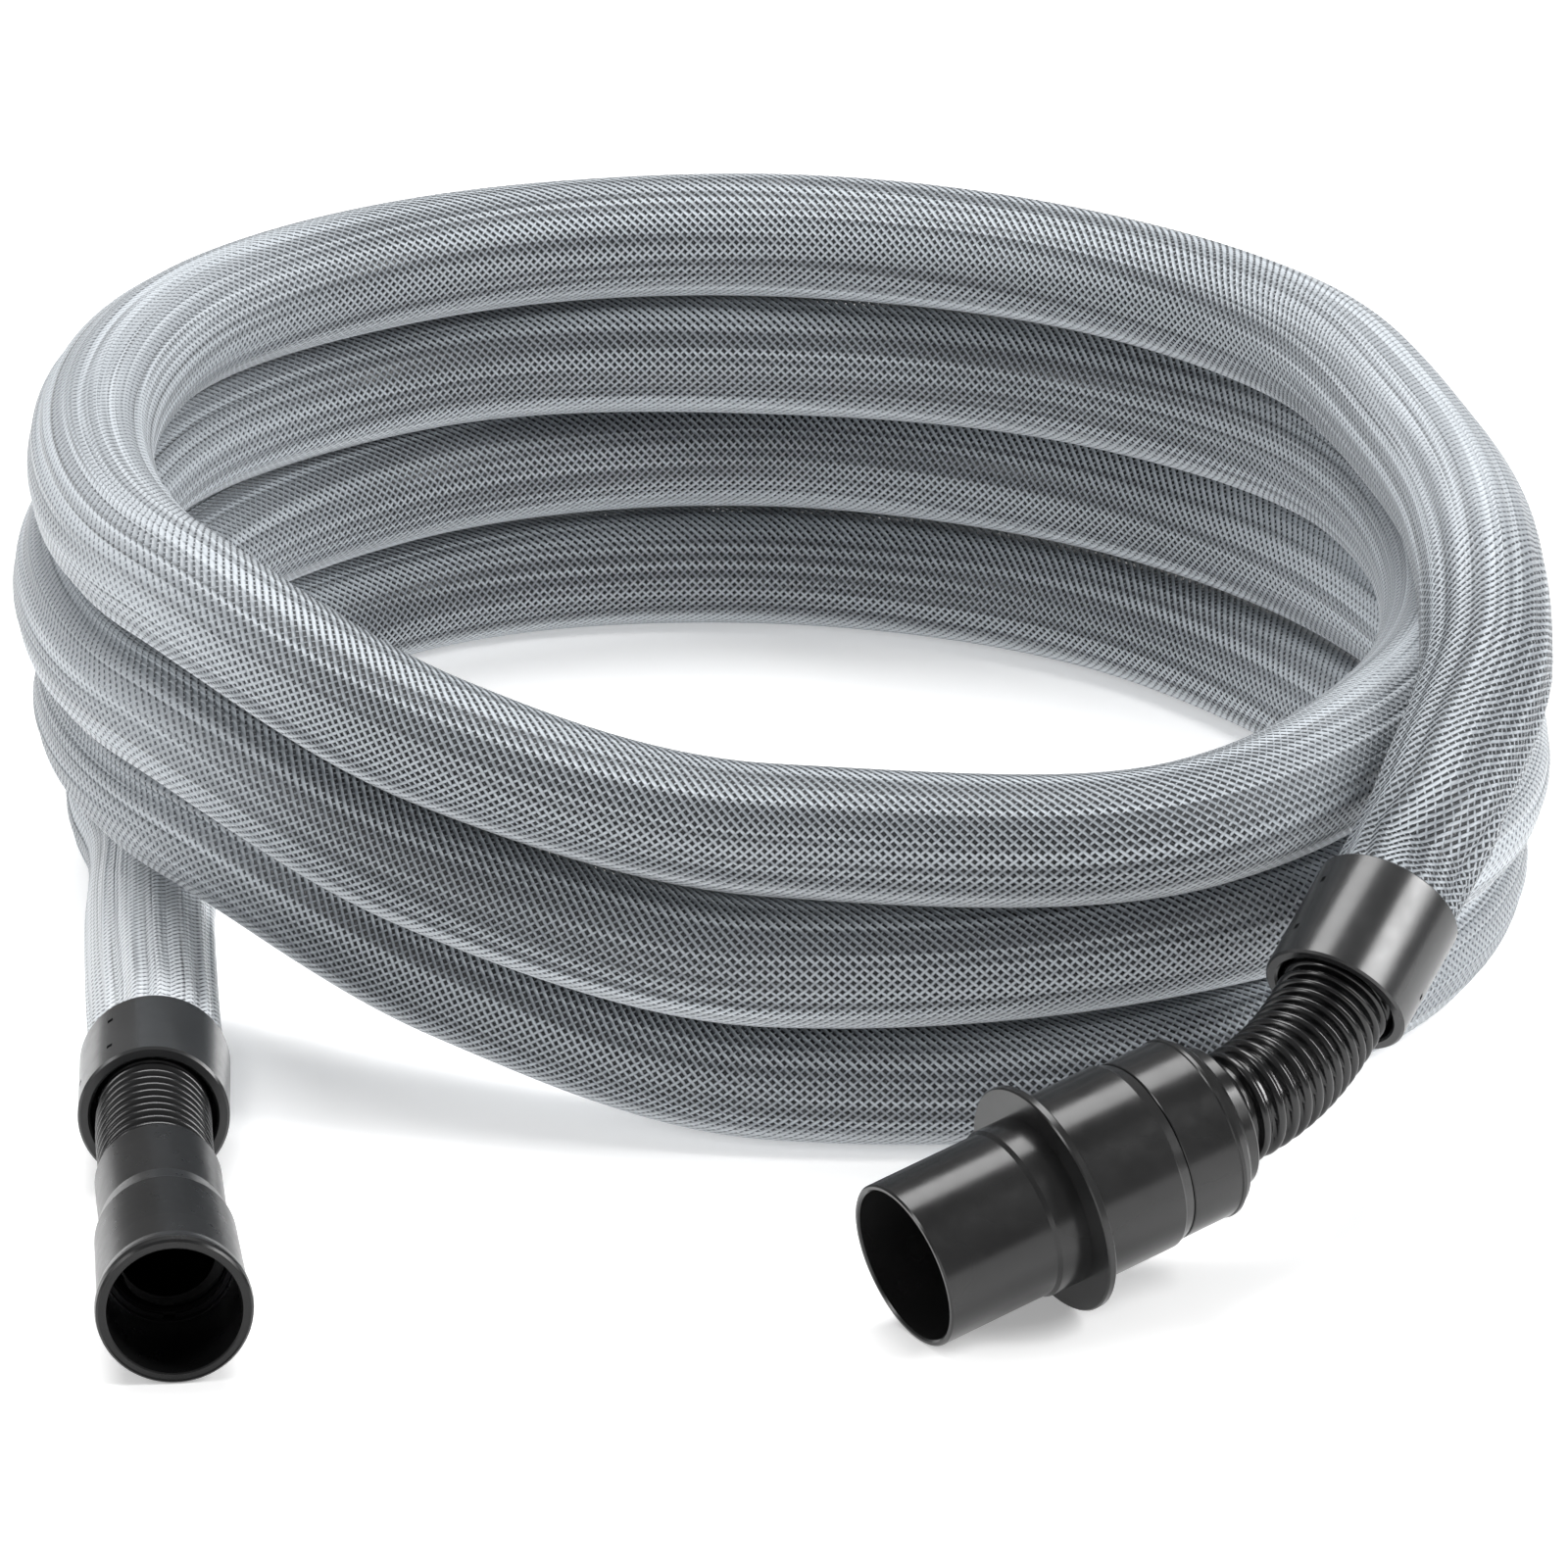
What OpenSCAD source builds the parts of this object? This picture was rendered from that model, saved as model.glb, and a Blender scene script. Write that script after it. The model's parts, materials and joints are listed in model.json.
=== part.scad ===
// Vacuum hose in a braided sleeve, coiled, with a swivel connector for the vacuum
// on one end and a rubber cuff for the tool on the other. All lengths in millimetres.

/* [Hose] */
// Outside diameter of the corrugated hose, over its ribs
hose_od = 39.5; // [39:0.1:39.6]
// Bore of the corrugated hose
hose_bore = 32; // [30:0.5:34]
// Outside diameter of the braided sleeve
sleeve_od = 46; // [45.6:0.1:46.2]
// Thickness of the braid
sleeve_wall = 1; // [0.8:0.1:1]

/* [Coil] */
// Height that each turn gains on the one below
turn_rise = 46.5; // [46.5:0.1:48]

/* [Sleeve collars] */
// Outside diameter of a collar
collar_od = 51.5; // [51:0.1:52]
// Length of a collar
collar_len = 44; // [42:0.5:46]
// Bore of a collar's front lip, which the hose passes through
lip_bore = 43; // [42:0.1:43.4]

/* [Vacuum connector] */
// Outside diameter of the spigot that plugs into the vacuum
spigot_od = 58; // [57.6:0.1:58.4]
// Length of the spigot, from its mouth to the flange
spigot_len = 54.8; // [50:0.2:60]
// Bore of the spigot
spigot_bore = 53.6; // [53:0.1:54.2]
// Diameter of the flange that stops the spigot
flange_od = 80.4; // [78:0.2:84]
// Diameter of the barrel behind the flange
barrel_od = 66; // [65.6:0.1:68]

/* [Tool cuff] */
// Bore of the cuff's mouth, which slides over the tool's outlet
cuff_bore = 45; // [44.6:0.1:45.4]
// Outside diameter of the cuff's mouth
cuff_od = 52.4; // [52:0.1:53]
// Overall length of the cuff
cuff_len = 102; // [98:1:110]
// Length of the cuff's narrow neck, to the middle of its bevel
neck_len = 42; // [40:1:44]

/* [Hidden] */

$fn = 72;
hose_r = hose_od / 2;
sleeve_r = sleeve_od / 2;
black = [0.05, 0.05, 0.055];
graphite = [0.13, 0.135, 0.14];

// Moves the layout so that the middle of its footprint is the origin
layout_shift = [3.1, 62, 0];

// Tool end: middle of the collar's front face, and the way it faces, in degrees about Z
tool_collar_at = [-213, -250, 26];
tool_collar_heading = -88;
// Tool end: where the cuff's neck starts, and the way the cuff points
cuff_at = [-209, -303, cuff_od / 2];
cuff_heading = -84.4;

// Vacuum end: middle of the collar's front face, its heading and how far it dips
vac_collar_at = [185, -255, 71];
vac_collar_heading = -121;
vac_collar_dip = 30;
// Vacuum end: the connector lies on the rims of its flange and its spigot
vac_heading = -148.5;
vac_dip = atan((flange_od - spigot_od) / 2 / spigot_len);
flange_at = [85, -346, flange_od / 2 * cos(vac_dip)];
// How far behind the flange's front face the hose enters the connector, and where it ends inside
cap_end = 71;
hose_stop = 12;
cuff_hose_stop = 56;

// Unit vector with a heading about Z, dipping below the horizontal
function pointing(heading, dip) = [cos(heading) * cos(dip), sin(heading) * cos(dip), -sin(dip)];
function unit(v) = v / norm(v);

tool_collar_way = pointing(tool_collar_heading, 0);
cuff_way = pointing(cuff_heading, 0);
vac_collar_way = pointing(vac_collar_heading, vac_collar_dip);
vac_way = pointing(vac_heading, vac_dip);

// Route from the tool collar to the foot of the coil, along the floor
tool_strand = [[-218, -150, 25], [-222, -82, 23], [-225, -17, 23]];
// Route from the top of the coil down to the vacuum collar
vac_strand = [[236, -38, 162], [241, -101, 158], [241, -125, 150], [239, -150, 142],
              [233, -169, 132], [225, -188, 122], [218, -205, 111]];
// How far the sleeve runs straight behind a collar before it starts to bend
lead = 12;

// The coil runs clockwise in 30 degree steps from the left. Its turns lie loosely, so
// each row gives one turn's distance from the middle, step by step
coil_middle = [-5, 18];
steps = 12;
turn_radii = [[228, 246, 250, 240, 230, 228, 246, 254, 250, 226, 214, 230],
              [240, 246, 248, 242, 232, 236, 250, 268, 250, 236, 230, 244],
              [246, 250, 238, 218, 218, 230, 236, 254, 268, 232, 228, 240],
              [240, 244, 230, 218, 214, 220, 230]];
// Each turn climbs onto the next over its last two steps
climb = [for (i = [0 : steps - 1]) i == steps - 2 ? 0.4 : i == steps - 1 ? 1 : 0];

function coil_point(turn, i) =
    let (a = 180 - 30 * i, r = turn_radii[turn][i])
    [coil_middle.x + r * cos(a), coil_middle.y + r * sin(a), sleeve_r + turn_rise * (turn + climb[i])];
coil = [for (turn = [0 : len(turn_radii) - 1], i = [0 : len(turn_radii[turn]) - 1]) coil_point(turn, i)];

// Points between two ends of bare hose, leaving p along d and arriving at q along e
function bend_points(p, d, q, e, reach, n) =
    [for (i = [1 : n - 1]) let (t = i / n, s = 1 - t)
        s * s * s * p + 3 * s * s * t * (p + reach * d) + 3 * s * t * t * (q - reach * e) + t * t * t * q];

vac_hose_in = flange_at - cap_end * vac_way;
tool_bare = bend_points(tool_collar_at, tool_collar_way, cuff_at, cuff_way, 18, 3);
vac_bare = bend_points(vac_collar_at, vac_collar_way, vac_hose_in, vac_way, 24, 4);

sleeve_in = 20;
sleeve_route = concat([tool_collar_at - sleeve_in * tool_collar_way,
                       tool_collar_at - (collar_len + lead) * tool_collar_way],
                      tool_strand, coil, vac_strand,
                      [vac_collar_at - (collar_len + lead) * vac_collar_way,
                       vac_collar_at - sleeve_in * vac_collar_way]);
hose_route = concat([cuff_at + cuff_hose_stop * cuff_way, cuff_at],
                    [for (i = [len(tool_bare) - 1 : -1 : 0]) tool_bare[i]],
                    [tool_collar_at, tool_collar_at - (collar_len + lead) * tool_collar_way],
                    tool_strand, coil, vac_strand,
                    [vac_collar_at - (collar_len + lead) * vac_collar_way, vac_collar_at],
                    vac_bare, [vac_hose_in, flange_at - hose_stop * vac_way]);

// One ring of a swept tube, square to the route at point i
function ring(route, i, r, sides) =
    let (before = route[max(i - 1, 0)], after = route[min(i + 1, len(route) - 1)],
         way = i == 0 || i == len(route) - 1 ? unit(after - before)
             : unit(unit(after - route[i]) + unit(route[i] - before)),
         side = unit(cross(way, [0, 0, 1])), up = cross(side, way))
    [for (k = [0 : sides - 1]) route[i] + r * (cos(360 * k / sides) * up + sin(360 * k / sides) * side)];

// A hollow tube swept along a route: outer rings first, then the bore's rings
module tube(route, r_out, r_in, sides) {
    n = len(route);
    points = [for (r = [r_out, r_in], i = [0 : n - 1], p = ring(route, i, r, sides)) p];
    inner = n * sides;
    walls = [for (i = [0 : n - 2], k = [0 : sides - 1])
                let (a = i * sides + k, b = i * sides + (k + 1) % sides)
                each [[a, a + sides, b + sides], [a, b + sides, b]]];
    bore = [for (w = walls) [inner + w[2], inner + w[1], inner + w[0]]];
    ends = [for (k = [0 : sides - 1])
               let (j = (k + 1) % sides, last = (n - 1) * sides)
               each [[k, j, inner + j], [k, inner + j, inner + k],
                     [last + j, last + k, inner + last + k], [last + j, inner + last + k, inner + last + j]]];
    translate(layout_shift)
        polyhedron(points = points, faces = concat(walls, bore, ends), convexity = 10);
}

// Places its children with their +Z along a heading and dip, at a point
module place(at, heading, dip) {
    translate(layout_shift + at)
        rotate([0, 90 + dip, heading]) children();
}
module on_tool_collar() { place(tool_collar_at, tool_collar_heading, 0) children(); }
module on_vac_collar() { place(vac_collar_at, vac_collar_heading, vac_collar_dip) children(); }
module on_cuff() { place(cuff_at, cuff_heading, 0) children(); }
module on_vac() { place(flange_at, vac_heading, vac_dip) children(); }

// A plain ring between two radii and two heights
module band(r_in, r_out, low, high) {
    rotate_extrude() translate([r_in, low]) square([r_out - r_in, high - low]);
}

// Collar: z = 0 is its front face, the sleeve goes in from behind
lip_len = 10;
module collar() {
    r = collar_od / 2;
    edge = 0.8;
    difference() {
        rotate_extrude() polygon([
            [lip_bore / 2, -lip_len], [lip_bore / 2, -edge], [lip_bore / 2 + edge, 0],
            [r - edge, 0], [r, -edge], [r, -collar_len + edge],
            [r - edge, -collar_len], [sleeve_r + 0.3, -collar_len], [sleeve_r + 0.3, -lip_len]]);
        // small latch windows, in the same places on both halves of the moulding
        for (half = [0, 180], hole = [[215, -34], [215, -13], [255, -15]])
            rotate([0, 0, half + hole[0]]) translate([sleeve_r - 1, -1.1, hole[1]]) cube([8, 2.2, 2.2]);
    }
}
// Crimp ring that opens the sleeve's end out against the collar
module clamp_ring() { band(hose_r + 0.15, sleeve_r - sleeve_wall - 0.85, -38, -21); }
// Half of the split ring that sits in the hose's ribs and holds the collar along the hose
module lock_half() {
    difference() {
        band(hose_r + 0.2, sleeve_r + 0.1, -18.5, -10.3);
        translate([-0.2, -30, -30]) cube([30.4, 60, 40]);
    }
}

module suction_hose() { color(black) tube(hose_route, hose_r, hose_bore / 2, 8); }
module braided_sleeve() {
    color([0.5, 0.52, 0.55]) tube(sleeve_route, sleeve_r, sleeve_r - sleeve_wall, 12);
}
module vac_collar() { color(graphite) on_vac_collar() collar(); }
module vac_clamp_ring() { color("silver") on_vac_collar() clamp_ring(); }
module vac_lock_half_upper() { color(black) on_vac_collar() lock_half(); }
module vac_lock_half_lower() { color(black) on_vac_collar() rotate([0, 0, 180]) lock_half(); }
module tool_collar() { color(graphite) on_tool_collar() collar(); }
module tool_clamp_ring() { color("silver") on_tool_collar() clamp_ring(); }
module tool_lock_half_upper() { color(black) on_tool_collar() lock_half(); }
module tool_lock_half_lower() { color(black) on_tool_collar() rotate([0, 0, 180]) lock_half(); }

// Vacuum connector: z = 0 is the flange's front face, +Z points out of the mouth
bush_in = hose_r + 0.35;
bush_r = 23.5;
neck_r = 30.4;
flange_t = 3;
module vac_spigot_body() {
    s = spigot_od / 2;
    b = spigot_bore / 2;
    f = flange_od / 2;
    color(black) on_vac() rotate_extrude($fn = 120) polygon([
        [b, spigot_len - 0.6], [b + 0.6, spigot_len], [s - 0.6, spigot_len], [s, spigot_len - 0.6],
        [s, 13], [s + 0.9, 11.5], [s + 0.9, 0], [f - 0.5, 0], [f, -0.5], [f, 0.5 - flange_t],
        [f - 0.5, -flange_t], [barrel_od / 2, -flange_t], [barrel_od / 2, -35.6],
        [barrel_od / 2 - 0.3, -36.2], [barrel_od / 2 - 1.5, -39.8], [neck_r, -39.8], [neck_r, -50],
        [28.6, -50], [28.6, -44], [27.2, -44], [27.2, -10], [bush_r + 0.8, -10],
        [bush_r + 0.8, -6], [b, -6]]);
}
module vac_rear_cap() {
    r = barrel_od / 2 - 1.2;
    color(black) on_vac() rotate_extrude($fn = 120) polygon([
        [neck_r + 0.2, -40.2], [r - 0.3, -40.2], [r, -40.5], [r, -59], [r + 0.4, -59.4],
        [r + 0.4, -60.6], [r - 0.6, -61], [r - 1.6, -63.4], [r - 4, -65.4], [r - 6.6, -66.5],
        [r - 7, -70.4], [r - 7.5, -cap_end], [hose_r + 1.2, -cap_end], [hose_r + 1.2, -64.6],
        [bush_r + 0.6, -64.6], [bush_r + 0.6, -59], [neck_r + 0.2, -59]]);
}
// Bush screwed onto the hose's end, with the flange that the connector turns about
module vac_hose_bush() {
    color(graphite) on_vac() rotate_extrude() polygon([
        [bush_in, -63.4], [bush_r, -63.4], [bush_r, -56.4], [29.8, -56.4],
        [29.8, -50.4], [bush_r, -50.4], [bush_r, -hose_stop], [bush_in, -hose_stop]]);
}
module vac_seal_ring() {
    color([0.2, 0.2, 0.2]) on_vac()
        rotate_extrude() translate([26.15, -46.9]) circle(r = 2.3, $fn = 24);
}
module vac_glide_washer() { color("white") on_vac() band(bush_r + 0.4, 30.2, -58.7, -56.8); }

// Tool cuff: z = 0 is the neck's rear face, +Z points out of the mouth
cavity_r = 21.9;
cavity_end = 63;
module tool_cuff() {
    r = cuff_od / 2;
    color(black) on_cuff() rotate_extrude($fn = 96) polygon([
        [hose_r + 0.5, 0], [21, 0], [21.4, 0.4], [21.4, neck_len - 6], [21.8, neck_len - 5.4],
        [23.4, neck_len + 4], [23.7, neck_len + 5], [24.6, cuff_len - 24], [25.2, cuff_len - 9],
        [r - 0.2, cuff_len - 5], [r, cuff_len - 3], [r - 0.3, cuff_len - 0.8], [r - 1, cuff_len],
        [r - 1.6, cuff_len - 0.3], [cuff_bore / 2 + 0.5, cuff_len - 0.5], [cuff_bore / 2, cuff_len - 0.8],
        [cuff_bore / 2, cavity_end], [cavity_r, cavity_end],
        [cavity_r, neck_len + 1.6], [hose_r + 0.5, neck_len + 1.6]]);
}
module tool_glide_washer() { color("white") on_cuff() band(20.3, 21.6, neck_len + 1.8, neck_len + 2.6); }
module tool_hose_bush() { color(graphite) on_cuff() band(bush_in, 21.55, neck_len + 3, cuff_hose_stop + 1); }
module tool_seal_ring() {
    color([0.2, 0.2, 0.2]) on_cuff() rotate_extrude() translate([20.95, 58.1]) circle(r = 0.7, $fn = 24);
}
module tool_snap_ring() {
    color("silver") on_cuff() difference() {
        band(20.3, 21.8, 59.4, 60.8);
        translate([15, -2, 50]) cube([10, 4, 20]);
    }
}

suction_hose();
braided_sleeve();
vac_collar();
vac_clamp_ring();
vac_lock_half_upper();
vac_lock_half_lower();
tool_collar();
tool_clamp_ring();
tool_lock_half_upper();
tool_lock_half_lower();
vac_hose_bush();
vac_spigot_body();
vac_rear_cap();
vac_seal_ring();
vac_glide_washer();
tool_hose_bush();
tool_cuff();
tool_seal_ring();
tool_snap_ring();
tool_glide_washer();
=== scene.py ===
"""Looks of the coiled vacuum hose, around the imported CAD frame. All lengths are in metres.

The braided sleeve and the bare, ribbed ends of the hose are modelled here, along the same
route as the CAD tubes. The rigid mouldings are the CAD nodes, with better materials.
"""
import json
import math

import bpy
import numpy as np
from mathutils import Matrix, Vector


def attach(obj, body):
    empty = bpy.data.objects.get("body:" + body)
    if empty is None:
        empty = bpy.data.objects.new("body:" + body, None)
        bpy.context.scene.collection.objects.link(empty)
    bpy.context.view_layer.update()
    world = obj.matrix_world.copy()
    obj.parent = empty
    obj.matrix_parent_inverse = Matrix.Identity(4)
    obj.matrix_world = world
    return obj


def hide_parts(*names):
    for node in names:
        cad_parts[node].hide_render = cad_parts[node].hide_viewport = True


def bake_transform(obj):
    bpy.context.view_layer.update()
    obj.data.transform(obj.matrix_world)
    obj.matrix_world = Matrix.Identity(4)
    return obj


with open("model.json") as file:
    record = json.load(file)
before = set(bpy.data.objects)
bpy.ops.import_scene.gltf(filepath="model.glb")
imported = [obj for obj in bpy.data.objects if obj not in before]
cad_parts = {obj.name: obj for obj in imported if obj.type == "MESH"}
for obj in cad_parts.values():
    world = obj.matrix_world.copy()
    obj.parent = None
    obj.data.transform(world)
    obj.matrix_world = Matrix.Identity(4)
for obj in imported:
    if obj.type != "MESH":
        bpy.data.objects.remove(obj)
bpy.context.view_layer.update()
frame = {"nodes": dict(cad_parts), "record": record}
MM = 0.001


# ---------------------------------------------------------------- camera and light
def add_camera():
    """Looks along +Y from above, at the height of the coil's middle, through a long lens."""
    elevation = math.radians(22.5)
    distance = 4.5
    target = Vector((3.1 * MM, 62 * MM, 80 * MM))
    data = bpy.data.cameras.new("camera")
    data.sensor_width = 36
    data.lens = 291.4
    data.shift_y = -0.0625
    data.clip_end = 50
    camera = bpy.data.objects.new("camera", data)
    bpy.context.scene.collection.objects.link(camera)
    camera.location = target + distance * Vector((0, -math.cos(elevation), math.sin(elevation)))
    camera.rotation_euler = (math.pi / 2 - elevation, 0, 0)
    bpy.context.scene.camera = camera


def add_softbox(name, place, target, size, power):
    """A rectangular area light of so many watts, turned towards target."""
    data = bpy.data.lights.new(name, "AREA")
    data.shape = "RECTANGLE"
    data.size, data.size_y = size
    data.energy = power
    light = bpy.data.objects.new(name, data)
    bpy.context.scene.collection.objects.link(light)
    light.location = place
    light.rotation_euler = (Vector(target) - Vector(place)).to_track_quat("-Z", "Y").to_euler()


def add_studio():
    """Three soft lights, a pale world and a white floor that glows a little."""
    add_softbox("overhead", (-0.2, 0.5, 2.0), (0, 0, 0.1), (1.9, 1.0), 50)
    add_softbox("front_left", (-1.9, -1.2, 1.0), (0, 0, 0.1), (0.5, 1.3), 17)
    add_softbox("right_strip", (1.7, -0.6, 1.2), (0.1, -0.1, 0.08), (0.3, 1.4), 34)
    world = bpy.data.worlds.new("studio")
    bpy.context.scene.world = world
    world.use_nodes = True
    backdrop = world.node_tree.nodes["Background"]
    backdrop.inputs["Color"].default_value = (1, 1, 1, 1)
    backdrop.inputs["Strength"].default_value = 0.35
    bpy.context.scene.view_settings.view_transform = "Standard"

    bpy.ops.mesh.primitive_plane_add(size=30, location=(0, 0, 0))
    floor = bpy.context.object
    floor.name = "floor"
    white = Shader("floor_white", Base_Color=(0.93, 0.93, 0.93, 1), Roughness=0.9,
                   Specular_IOR_Level=0.1, Emission_Color=(1, 1, 1, 1), Emission_Strength=0.3)
    floor.data.materials.append(white.material)


# ---------------------------------------------------------------- the route, as in the CAD
LAYOUT_SHIFT = np.array([3.1, 62, 0]) * MM   # centres the whole layout on the origin
SLEEVE_R = 23 * MM
HOSE_R = 19.75 * MM          # over the ribs
COLLAR_LEN = 44 * MM
LEAD = 12 * MM               # straight sleeve before each collar
SLEEVE_IN = 20 * MM          # from a collar's mouth back to the sleeve's end
HOSE_IN = 19.5 * MM          # from a collar's mouth back to where a ribbed end begins
CAP_END = 71 * MM            # from the connector's flange back to the end of its cap
HOSE_STOP = 12 * MM          # the hose ends this far behind the flange
CUFF_HOSE_STOP = 56 * MM     # how far the hose goes into the cuff
TURN_RISE = 46.5 * MM        # from one turn to the next
COIL_MIDDLE = np.array([-5, 18]) * MM
# each turn's radius in mm at every 30 degrees, clockwise from the left as seen from above
TURN_RADII = [[228, 246, 250, 240, 230, 228, 246, 254, 250, 226, 214, 230],
              [240, 246, 248, 242, 232, 236, 250, 268, 250, 236, 230, 244],
              [246, 250, 238, 218, 218, 230, 236, 254, 268, 232, 228, 240],
              [240, 244, 230, 218, 214, 220, 230]]
CLIMB = [0] * 10 + [0.4, 1]  # share of the rise reached at each of those places
TOOL_STRAND = np.array([[-218, -150, 25], [-222, -82, 23], [-225, -17, 23]]) * MM
VAC_STRAND = np.array([[236, -38, 162], [241, -101, 158], [241, -125, 150], [239, -150, 142],
                       [233, -169, 132], [225, -188, 122], [218, -205, 111]]) * MM


def pointing(heading, dip):
    """Unit vector with a heading about Z, dipping below the horizontal, in degrees."""
    h, d = math.radians(heading), math.radians(dip)
    return np.array([math.cos(h) * math.cos(d), math.sin(h) * math.cos(d), -math.sin(d)])


TOOL_COLLAR_AT = np.array([-213, -250, 26]) * MM
TOOL_COLLAR_WAY = pointing(-88, 0)
CUFF_AT = np.array([-209, -303, 26.2]) * MM
CUFF_WAY = pointing(-84.4, 0)
VAC_COLLAR_AT = np.array([185, -255, 71]) * MM
VAC_COLLAR_WAY = pointing(-121, 30)
# the connector rests on its flange and on the lip of its spigot; these three are in mm
FLANGE_D = 80.4
SPIGOT_D = 58
SPIGOT_LEN = 54.8
VAC_DIP = math.degrees(math.atan((FLANGE_D - SPIGOT_D) / 2 / SPIGOT_LEN))
FLANGE_AT = np.array([85, -346, FLANGE_D / 2 * math.cos(math.radians(VAC_DIP))]) * MM
VAC_WAY = pointing(-148.5, VAC_DIP)


def coil_points():
    """The middle of the sleeve round the coil, from the lowest turn up."""
    points = []
    for turn, radii in enumerate(TURN_RADII):
        for i, radius in enumerate(radii):
            angle = math.radians(180 - 30 * i)
            across = COIL_MIDDLE + radius * MM * np.array([math.cos(angle), math.sin(angle)])
            points.append([*across, SLEEVE_R + TURN_RISE * (turn + CLIMB[i])])
    return np.array(points)


def smooth(points, first_way, last_way, spacing):
    """A smooth curve through the points, leaving along first_way and arriving along last_way."""
    chords = np.linalg.norm(np.diff(points, axis=0), axis=1)
    slopes = np.diff(points, axis=0) / chords[:, None]
    share = (chords[1:] / (chords[1:] + chords[:-1]))[:, None]
    tangents = np.vstack([first_way, slopes[:-1] * share + slopes[1:] * (1 - share), last_way])
    # the height only turns where the points do, so no turn dips into the one below
    before, after = slopes[:-1, 2], slopes[1:, 2]
    both = before * after > 0
    tangents[1:-1, 2] = np.where(both, 2 * before * after / np.where(both, before + after, 1), 0)
    out = []
    for i, chord in enumerate(chords):
        n = max(2, round(chord / spacing))
        for t in np.arange(n) / n:
            out.append((2 * t**3 - 3 * t**2 + 1) * points[i] + (t**3 - 2 * t**2 + t) * chord * tangents[i]
                       + (3 * t**2 - 2 * t**3) * points[i + 1] + (t**3 - t**2) * chord * tangents[i + 1])
    return np.array(out + [points[-1]])


def straight(start, end, spacing):
    """Evenly spaced points on a straight line, both ends among them."""
    n = max(2, round(np.linalg.norm(end - start) / spacing))
    return np.array([start + (end - start) * i / n for i in range(n + 1)])


def bend(p, d, q, e, reach, n):
    """Bare hose between two ends: leaves p along d and arrives at q along e."""
    t = (np.arange(n + 1) / n)[:, None]
    s = 1 - t
    return s**3 * p + 3 * s**2 * t * (p + reach * d) + 3 * s * t**2 * (q - reach * e) + t**3 * q


def sleeve_path(spacing):
    """The sleeve's middle line, from inside the tool collar to inside the vacuum collar."""
    tool_lead = TOOL_COLLAR_AT - (COLLAR_LEN + LEAD) * TOOL_COLLAR_WAY
    vac_lead = VAC_COLLAR_AT - (COLLAR_LEN + LEAD) * VAC_COLLAR_WAY
    points = np.vstack([tool_lead, TOOL_STRAND, coil_points(), VAC_STRAND, vac_lead])
    middle = smooth(points, -TOOL_COLLAR_WAY, VAC_COLLAR_WAY, spacing)
    first = straight(TOOL_COLLAR_AT - SLEEVE_IN * TOOL_COLLAR_WAY, tool_lead, spacing)
    last = straight(vac_lead, VAC_COLLAR_AT - SLEEVE_IN * VAC_COLLAR_WAY, spacing)
    return np.vstack([first[:-1], middle[:-1], last]) + LAYOUT_SHIFT


# ---------------------------------------------------------------- swept meshes
def along(path):
    """How far along the path each of its points is."""
    return np.concatenate([[0], np.cumsum(np.linalg.norm(np.diff(path, axis=0), axis=1))])


def even(path, spacing):
    """The same path with points at an even spacing."""
    s = along(path)
    n = max(2, round(s[-1] / spacing))
    at = np.linspace(0, s[-1], n + 1)
    return np.stack([np.interp(at, s, path[:, k]) for k in range(3)], axis=1)


def rings(path, radius):
    """Ring points about each path point. radius holds one value per path point and side."""
    way = np.gradient(path, axis=0)
    way /= np.linalg.norm(way, axis=1)[:, None]
    side = np.cross(way, [0, 0, 1])
    side /= np.linalg.norm(side, axis=1)[:, None]
    up = np.cross(side, way)
    angle = 2 * math.pi * np.arange(radius.shape[1]) / radius.shape[1]
    spokes = (np.cos(angle)[None, :, None] * up[:, None, :]
              + np.sin(angle)[None, :, None] * side[:, None, :])
    return path[:, None, :] + radius[:, :, None] * spokes


def swept_shell(name, path, outer, inner):
    """A closed tube wall between two radii. The UV map holds the share of the way round
    and the length along the tube in metres."""
    rows, sides = outer.shape
    points = np.vstack([rings(path, outer).reshape(-1, 3), rings(path, inner).reshape(-1, 3)])
    row, k = np.meshgrid(np.arange(rows - 1), np.arange(sides), indexing="ij")
    row, k = row.ravel(), k.ravel()
    j = (k + 1) % sides
    wall = np.stack([row * sides + k, (row + 1) * sides + k, (row + 1) * sides + j, row * sides + j], 1)
    bore = wall[:, ::-1] + rows * sides
    k = np.arange(sides)
    j = (k + 1) % sides
    last = (rows - 1) * sides
    inside = rows * sides
    first_end = np.stack([k, j, inside + j, inside + k], 1)
    last_end = np.stack([last + j, last + k, inside + last + k, inside + last + j], 1)
    faces = np.vstack([wall, bore, first_end, last_end])
    mesh = bpy.data.meshes.new(name)
    mesh.from_pydata(points.tolist(), [], faces.tolist())
    # only the two flat ends are shaded flat
    mesh.polygons.foreach_set("use_smooth", np.arange(len(faces)) < len(wall) + len(bore))

    s = along(path)
    vertex = faces.ravel() % (rows * sides)
    u = (vertex % sides).astype(float).reshape(-1, 4)
    wraps = (u.max(axis=1) - u.min(axis=1)) > sides / 2
    u[wraps[:, None] & (u == 0)] = sides
    v = s[vertex // sides]
    uv = mesh.uv_layers.new(name="round_and_along")
    uv.data.foreach_set("uv", np.stack([u.ravel() / sides, v], 1).astype(np.float32).ravel())
    mesh.update()
    obj = bpy.data.objects.new(name, mesh)
    bpy.context.scene.collection.objects.link(obj)
    return obj


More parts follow.
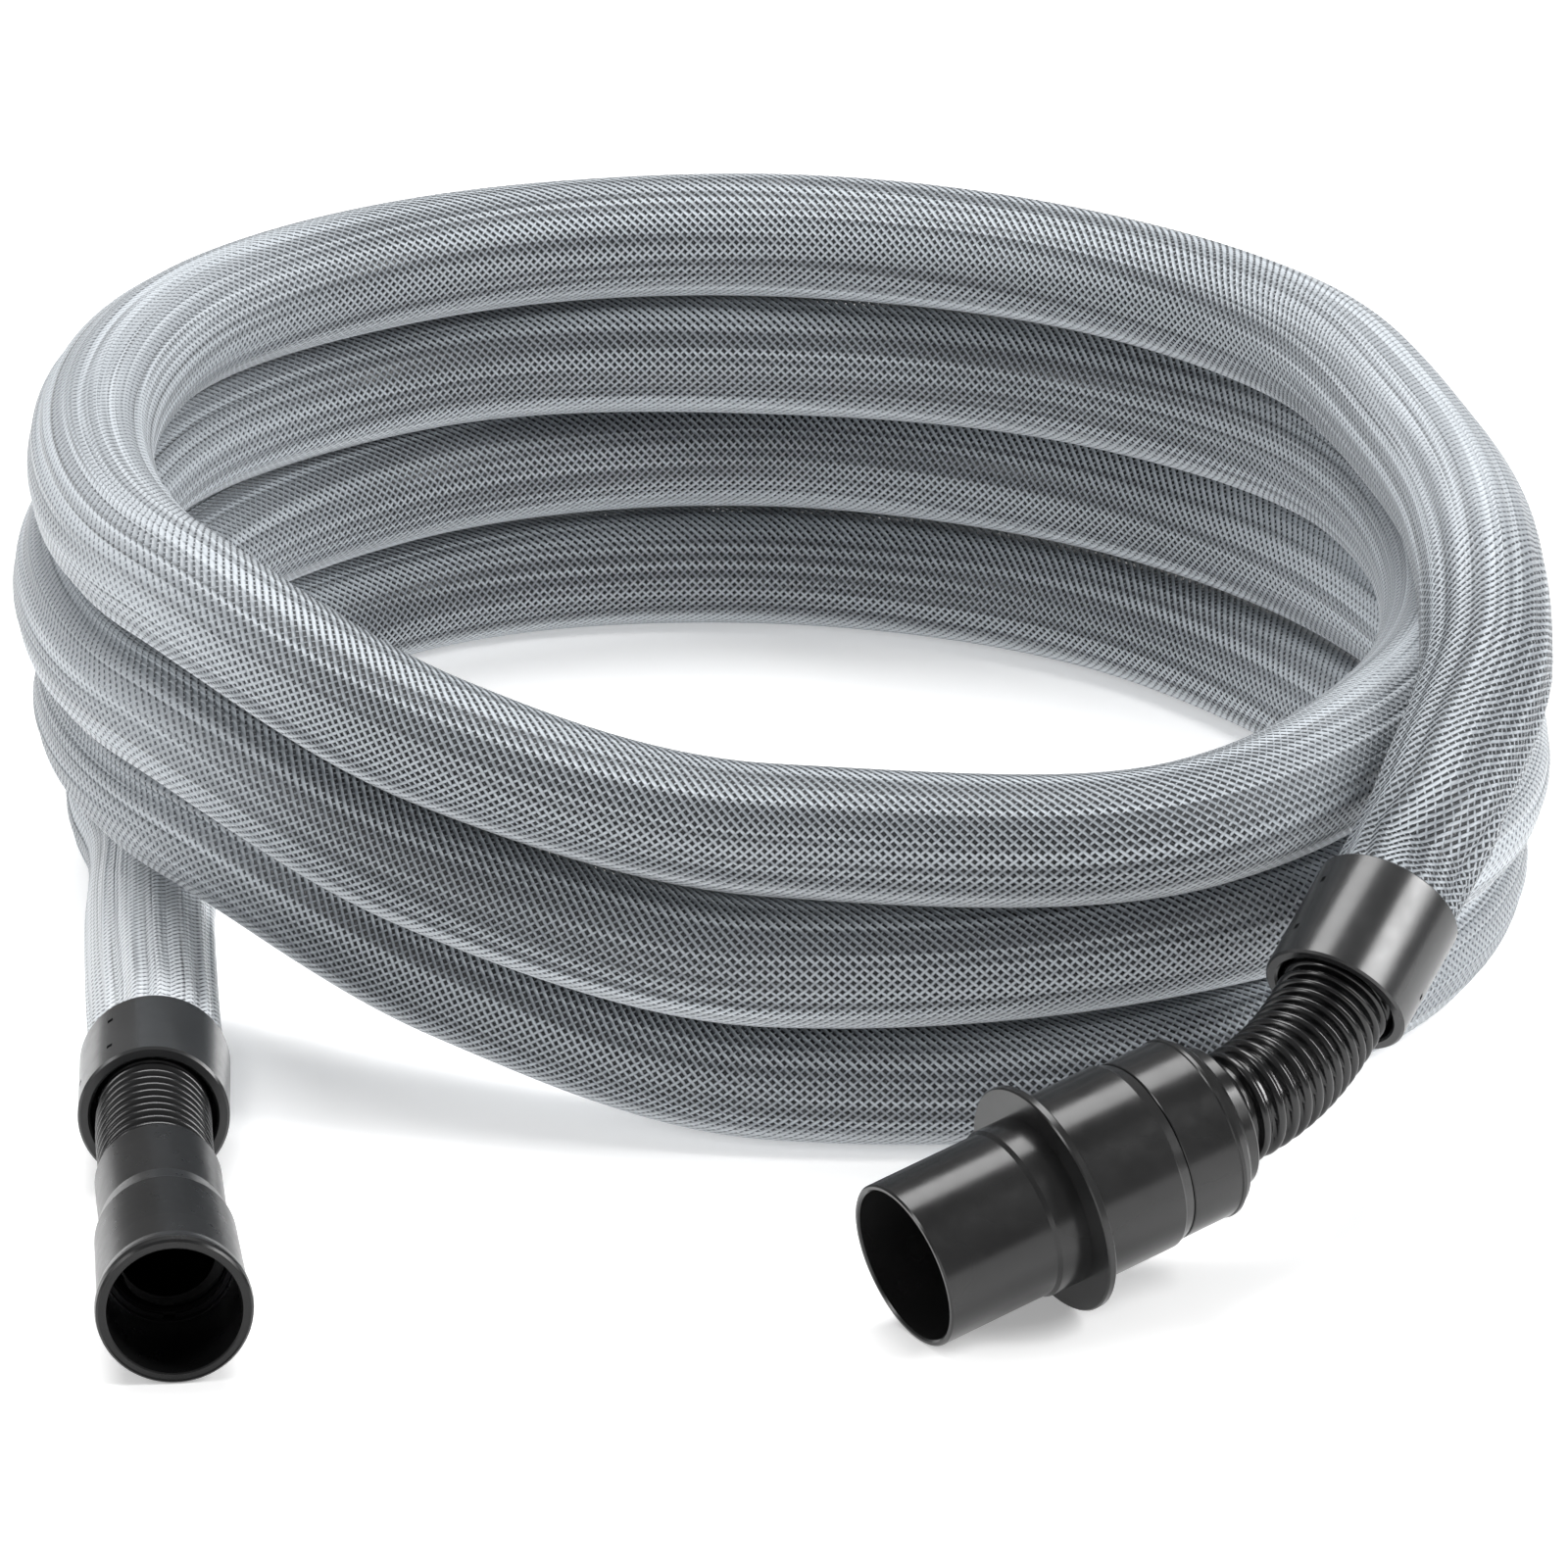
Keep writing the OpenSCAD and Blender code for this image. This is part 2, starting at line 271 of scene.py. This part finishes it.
# ---------------------------------------------------------------- materials
class Shader:
    """A material with a Principled shader, and short ways to add nodes to it."""

    def __init__(self, name, **sockets):
        self.material = bpy.data.materials.new(name)
        self.material.use_nodes = True
        self.tree = self.material.node_tree
        self.bsdf = self.tree.nodes["Principled BSDF"]
        for socket, value in sockets.items():
            self.bsdf.inputs[socket.replace("_", " ")].default_value = value

    def node(self, kind, **settings):
        node = self.tree.nodes.new(kind)
        for key, value in settings.items():
            setattr(node, key, value)
        return node

    def link(self, source, socket):
        if isinstance(source, (int, float, tuple)):
            socket.default_value = source
        else:
            self.tree.links.new(source, socket)

    def math(self, operation, *values, clamp=False):
        node = self.node("ShaderNodeMath", operation=operation, use_clamp=clamp)
        for value, socket in zip(values, node.inputs):
            self.link(value, socket)
        return node.outputs[0]

    def mix(self, factor, low, high):
        node = self.node("ShaderNodeMix", data_type="RGBA")
        self.link(factor, node.inputs[0])
        self.link(low, node.inputs[6])
        self.link(high, node.inputs[7])
        return node.outputs[2]

    def spread(self, value, low, high, to_low=0.0, to_high=1.0):
        """Maps low..high of value onto to_low..to_high, smoothly."""
        node = self.node("ShaderNodeMapRange", interpolation_type="SMOOTHSTEP")
        for source, socket in zip((value, low, high, to_low, to_high), node.inputs):
            self.link(source, socket)
        return node.outputs[0]

    def noise(self, scale, detail=2.0, place=None, roughness=0.5):
        node = self.node("ShaderNodeTexNoise")
        node.inputs["Scale"].default_value = scale
        node.inputs["Detail"].default_value = detail
        node.inputs["Roughness"].default_value = roughness
        self.link(place or self.node("ShaderNodeTexCoord").outputs["Object"], node.inputs["Vector"])
        return node.outputs["Fac"]

    def bump(self, height, distance, strength=1.0, under=None):
        node = self.node("ShaderNodeBump")
        node.inputs["Strength"].default_value = strength
        node.inputs["Distance"].default_value = distance
        self.link(height, node.inputs["Height"])
        if under:
            self.link(under, node.inputs["Normal"])
        return node.outputs[0]

    def colour(self, source):
        self.link(source, self.bsdf.inputs["Base Color"])

    def roughness(self, source):
        self.link(source, self.bsdf.inputs["Roughness"])

    def normal(self, source):
        self.link(source, self.bsdf.inputs["Normal"])


STRANDS = 42          # strands one way round the sleeve
OPEN_WIDTH = 0.37     # a strand's width as a share of its pitch, where the braid lies open
OPEN_FILM = 0.32      # how much of the gaps' own colour shows where the braid lies open
PALE = (0.82, 0.85, 0.88, 1)


def braid_material():
    """Open braid of round clear monofilament, strands at 45 degrees both ways, each over one
    and under one. Between the strands it is mostly clear, and the dark hose shows through. At the
    two ends of the coil the braid is drawn closed, in long fine folds. One family of strands
    stands out on top of the hose and the other underneath."""
    m = Shader("braid", Sheen_Weight=0.2, Sheen_Roughness=0.3, Specular_IOR_Level=0.45)
    split = m.node("ShaderNodeSeparateXYZ")
    m.link(m.node("ShaderNodeUVMap", uv_map="round_and_along").outputs[0], split.inputs[0])
    share_round, metres_along = split.outputs[:2]
    place = m.node("ShaderNodeSeparateXYZ")
    m.link(m.node("ShaderNodeTexCoord").outputs["Object"], place.inputs[0])
    # drawn closed at the left and right of the coil, but open again by the vacuum collar
    drawn = m.spread(m.math("ABSOLUTE", place.outputs[0]), 0.135, 0.235)
    drawn = m.math("MULTIPLY", drawn, m.spread(metres_along, 5.59, 5.69, 1.0, 0.1))
    # behind the tool collar, where the sleeve is gathered, the strands are painted paler: painted light
    # standing in for light shining through the translucent sleeve
    painted_light_by_tool_collar = m.spread(metres_along, 0.12, 0.3, 1.0, 0.0)

    # long fine folds, the same at both edges of the UV map
    angle = m.math("MULTIPLY", share_round, 2 * math.pi)
    ring = m.node("ShaderNodeCombineXYZ")
    upward = m.math("COSINE", angle)
    m.link(m.math("MULTIPLY", upward, 5.5), ring.inputs[0])
    m.link(m.math("MULTIPLY", m.math("SINE", angle), 5.5), ring.inputs[1])
    m.link(m.math("MULTIPLY", metres_along, 3.5), ring.inputs[2])
    fold = m.spread(m.noise(1.0, 2.0, ring.outputs[0]), 0.36, 0.66)

    # underneath, the braid closes, as under the sleeve's own weight; its strands and gaps are also painted
    # paler there, painted light standing in for light scattered through the clear strands
    low = m.spread(upward, -0.4, -0.68)
    turn = m.math("MULTIPLY", share_round, float(STRANDS))
    run = m.math("MULTIPLY", metres_along, STRANDS / (2 * math.pi * SLEEVE_R))
    right, left = m.math("ADD", turn, run), m.math("SUBTRACT", turn, run)
    width = m.math("MULTIPLY_ADD", fold, 0.07, OPEN_WIDTH)
    width = m.math("MULTIPLY_ADD", m.math("MAXIMUM", drawn, low), 0.2, width)

    def wave(line):
        return m.math("SINE", m.math("MULTIPLY", m.math("FRACT", line), math.pi))

    def strand(own_wave, crossing_wave, lift, side):
        """Height across one family of strands, rising over and dipping under the other."""
        own_width = m.math("MULTIPLY", width, m.math("MULTIPLY_ADD", upward, 0.42 * side, 1.0))
        edge = m.math("COSINE", m.math("MULTIPLY", own_width, math.pi / 2))
        above_edge = m.math("SUBTRACT", own_wave, edge)
        rise = m.math("DIVIDE", above_edge, m.math("SUBTRACT", 1.0, edge), clamp=True)
        level = m.math("MULTIPLY_ADD", upward, 0.25 * side, 0.7)
        swell = m.math("MULTIPLY_ADD", crossing_wave, lift, level)
        return m.math("MULTIPLY", m.math("SQRT", rise), swell)

    right_wave, left_wave = wave(right), wave(left)
    cell = m.math("ADD", m.math("FLOOR", right), m.math("FLOOR", left))
    over = m.math("MULTIPLY_ADD", m.math("FLOORED_MODULO", cell, 2.0), 0.6, -0.3)
    under = m.math("MULTIPLY", over, -1.0)
    rising = strand(right_wave, left_wave, over, -1)
    falling = strand(left_wave, right_wave, under, 1)
    height = m.math("MAXIMUM", rising, falling)

    strands = m.mix(fold, (0.213, 0.234, 0.256, 1), (0.43, 0.466, 0.5, 1))
    # the strands are paler where the braid is drawn closed; behind the tool collar and underneath, this
    # paleness is painted light
    paler = m.math("MAXIMUM", m.math("MULTIPLY", drawn, 0.16), m.math("MULTIPLY", painted_light_by_tool_collar, 0.75))
    paler = m.math("MAXIMUM", paler, m.math("MULTIPLY", low, 0.4))
    strands = m.mix(paler, strands, PALE)
    # the gaps are paler where the braid is closed; underneath, this paleness is painted light
    closed = m.math("MAXIMUM", drawn, low)
    gaps = m.mix(closed, (0.06, 0.066, 0.073, 1), (0.262, 0.285, 0.312, 1))
    m.colour(m.mix(m.spread(height, 0.1, 0.6), gaps, strands))
    m.roughness(m.spread(height, 0.1, 0.9, 0.55, 0.4))
    film = m.math("MULTIPLY", closed, m.math("MULTIPLY_ADD", fold, 0.3, 0.4))
    film = m.math("MAXIMUM", film, OPEN_FILM)
    m.link(m.math("MAXIMUM", m.spread(height, 0.04, 0.2), film), m.bsdf.inputs["Alpha"])
    folds = m.math("MULTIPLY", fold, m.math("MULTIPLY_ADD", drawn, 0.8, 0.15))
    m.normal(m.bump(height, 0.45 * MM, 1.0, m.bump(folds, 1.6 * MM)))
    return m.material


def moulded(name, colour, rough, grain, **sockets):
    """Injection-moulded plastic: slight colour and gloss variation over a fine grain."""
    m = Shader(name, **sockets)
    cloud = m.noise(22.0, 3.0)
    lighter = tuple(min(1.0, c * 1.5 + 0.004) for c in colour[:3]) + (1,)
    m.colour(m.mix(m.spread(cloud, 0.3, 0.75), colour, lighter))
    scuff = m.noise(160.0, 4.0, roughness=0.65)
    m.roughness(m.spread(scuff, 0.3, 0.75, rough, rough + 0.05))
    fine = m.bump(m.noise(2600.0, 1.0), 0.05 * MM, grain)
    m.normal(m.bump(cloud, 0.4 * MM, 0.12, fine))
    return m.material


def metal(name):
    """Blackened spring steel."""
    m = Shader(name, Metallic=1.0)
    lines = m.noise(900.0, 2.0)
    m.colour(m.mix(lines, (0.02, 0.02, 0.021, 1), (0.035, 0.035, 0.036, 1)))
    m.roughness(m.spread(lines, 0.3, 0.7, 0.4, 0.55))
    return m.material


def make_materials():
    """One material for each material slot of the record."""
    return {
        "braid": braid_material(),
        "hose_plastic": moulded("hose_black", (0.003, 0.003, 0.0033, 1), 0.2, 0.1),
        "collar_plastic": moulded("collar_graphite", (0.013, 0.0133, 0.0137, 1), 0.22, 0.12),
        "connector_plastic": moulded("connector_black", (0.008, 0.008, 0.0081, 1), 0.2, 0.06,
                                     Specular_IOR_Level=0.38),
        "cuff_rubber": moulded("cuff_black", (0.004, 0.004, 0.0042, 1), 0.27, 0.1, Specular_IOR_Level=0.3),
        "bush_plastic": moulded("bush_black", (0.004, 0.004, 0.004, 1), 0.6, 0.3, Specular_IOR_Level=0.12),
        "washer_plastic": moulded("acetal_white", (0.6, 0.6, 0.58, 1), 0.35, 0.15),
        "seal_rubber": moulded("seal_black", (0.008, 0.008, 0.008, 1), 0.6, 0.4, Specular_IOR_Level=0.15),
        "ring_metal": metal("ring_steel"),
    }


# ---------------------------------------------------------------- pieces
def make_sleeve(materials):
    """The braided sleeve, with its pleats. Returns the piece and its middle line."""
    path = even(sleeve_path(4 * MM), 9 * MM)
    s = along(path)
    sides = 72
    angle = (2 * math.pi * np.arange(sides) / sides)[None, :]

    def gather(distance):
        return np.clip(1 - np.abs(distance) / 0.13, 0, 1) ** 1.3

    # the pleats are deepest at each collar and fade out behind it, and are slight at the
    # left and right of the coil
    drawn = np.clip((np.abs(path[:, 0]) - 0.13) / 0.1, 0, 1)
    depth = 1.0 * gather(s - 0.02) + 0.45 * gather(s[-1] - 0.02 - s) + 0.3 * drawn
    drift = 0.8 * np.sin(2 * math.pi * s / 0.8)[:, None]
    pleats = np.sin(15 * angle + drift) + 0.5 * np.sin(22 * angle + 1.0 - 2 * drift)
    # slow waviness of a soft sleeve over its hose
    wave = 0.25 * np.sin(2 * math.pi * s[:, None] / 0.19 + 2 * angle)
    into_collar = np.minimum(s, s[-1] - s)[:, None]
    ease = np.clip(into_collar / 0.03, 0, 1) * (into_collar > 0.026)
    outer = SLEEVE_R - 0.5 * MM + (depth[:, None] * pleats + wave) * ease * MM
    piece = swept_shell("sleeve_braid", path, outer, outer - 0.4 * MM)
    piece.data.materials.append(materials["braid"])
    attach(piece, "root")
    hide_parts("braided_sleeve")
    return piece, path


def ribbed(name, path, materials):
    """Corrugated hose: round ribs on a helix, a deep narrow groove between them."""
    pitch = 5.4 * MM
    root_r = 16.8 * MM
    rib_share = 0.66
    path = even(path, pitch / 16)
    s = along(path)
    sides = 72
    share = np.arange(sides) / sides
    phase = (s[:, None] / pitch + share[None, :]) % 1
    rib = np.sqrt(np.clip(1 - ((2 * phase - 1) / rib_share) ** 2, 0, 1))
    outer = root_r + (HOSE_R - root_r) * rib
    piece = swept_shell(name, path, outer, np.full_like(outer, 16.0 * MM))
    piece.data.materials.append(materials["hose_plastic"])
    return piece


def make_hose(materials, path):
    """The bare ends, ribbed, and the plain stretch that the sleeve hides."""
    core_path = even(path, 20 * MM)
    core_sides = 32
    core_r = np.full((len(core_path), core_sides), 19.0 * MM)
    core = swept_shell("hose_in_sleeve", core_path, core_r, core_r - 2.5 * MM)
    core.data.materials.append(materials["hose_plastic"])
    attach(core, "root")
    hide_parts("suction_hose")

    fine = 2 * MM
    bend_steps = 400
    vac_in = FLANGE_AT - CAP_END * VAC_WAY
    vac_bare = bend(VAC_COLLAR_AT, VAC_COLLAR_WAY, vac_in, VAC_WAY, 24 * MM, bend_steps)
    vac = np.vstack([straight(VAC_COLLAR_AT - HOSE_IN * VAC_COLLAR_WAY, VAC_COLLAR_AT, fine)[:-1],
                     vac_bare, straight(vac_in, FLANGE_AT - HOSE_STOP * VAC_WAY, fine)[1:]])
    vac_end = ribbed("hose_end_vac", vac + LAYOUT_SHIFT, materials)
    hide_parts("suction_hose")
    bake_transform(vac_end)

    tool_bare = bend(TOOL_COLLAR_AT, TOOL_COLLAR_WAY, CUFF_AT, CUFF_WAY, 18 * MM, bend_steps)
    tool = np.vstack([straight(TOOL_COLLAR_AT - HOSE_IN * TOOL_COLLAR_WAY, TOOL_COLLAR_AT, fine)[:-1],
                      tool_bare, straight(CUFF_AT, CUFF_AT + CUFF_HOSE_STOP * CUFF_WAY, fine)[1:]])
    tool_end = ribbed("hose_end_tool", tool + LAYOUT_SHIFT, materials)
    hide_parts("suction_hose")
    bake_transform(tool_end)


def dress_cad(materials):
    """Gives every CAD node the material of its slot."""
    for part in frame["record"]["subparts"]:
        node = frame["nodes"][part["node"]]
        node.data.materials.clear()
        node.data.materials.append(materials[part["material_slot"]])


add_camera()
materials = make_materials()
sleeve, sleeve_line = make_sleeve(materials)
make_hose(materials, sleeve_line)
dress_cad(materials)
add_studio()
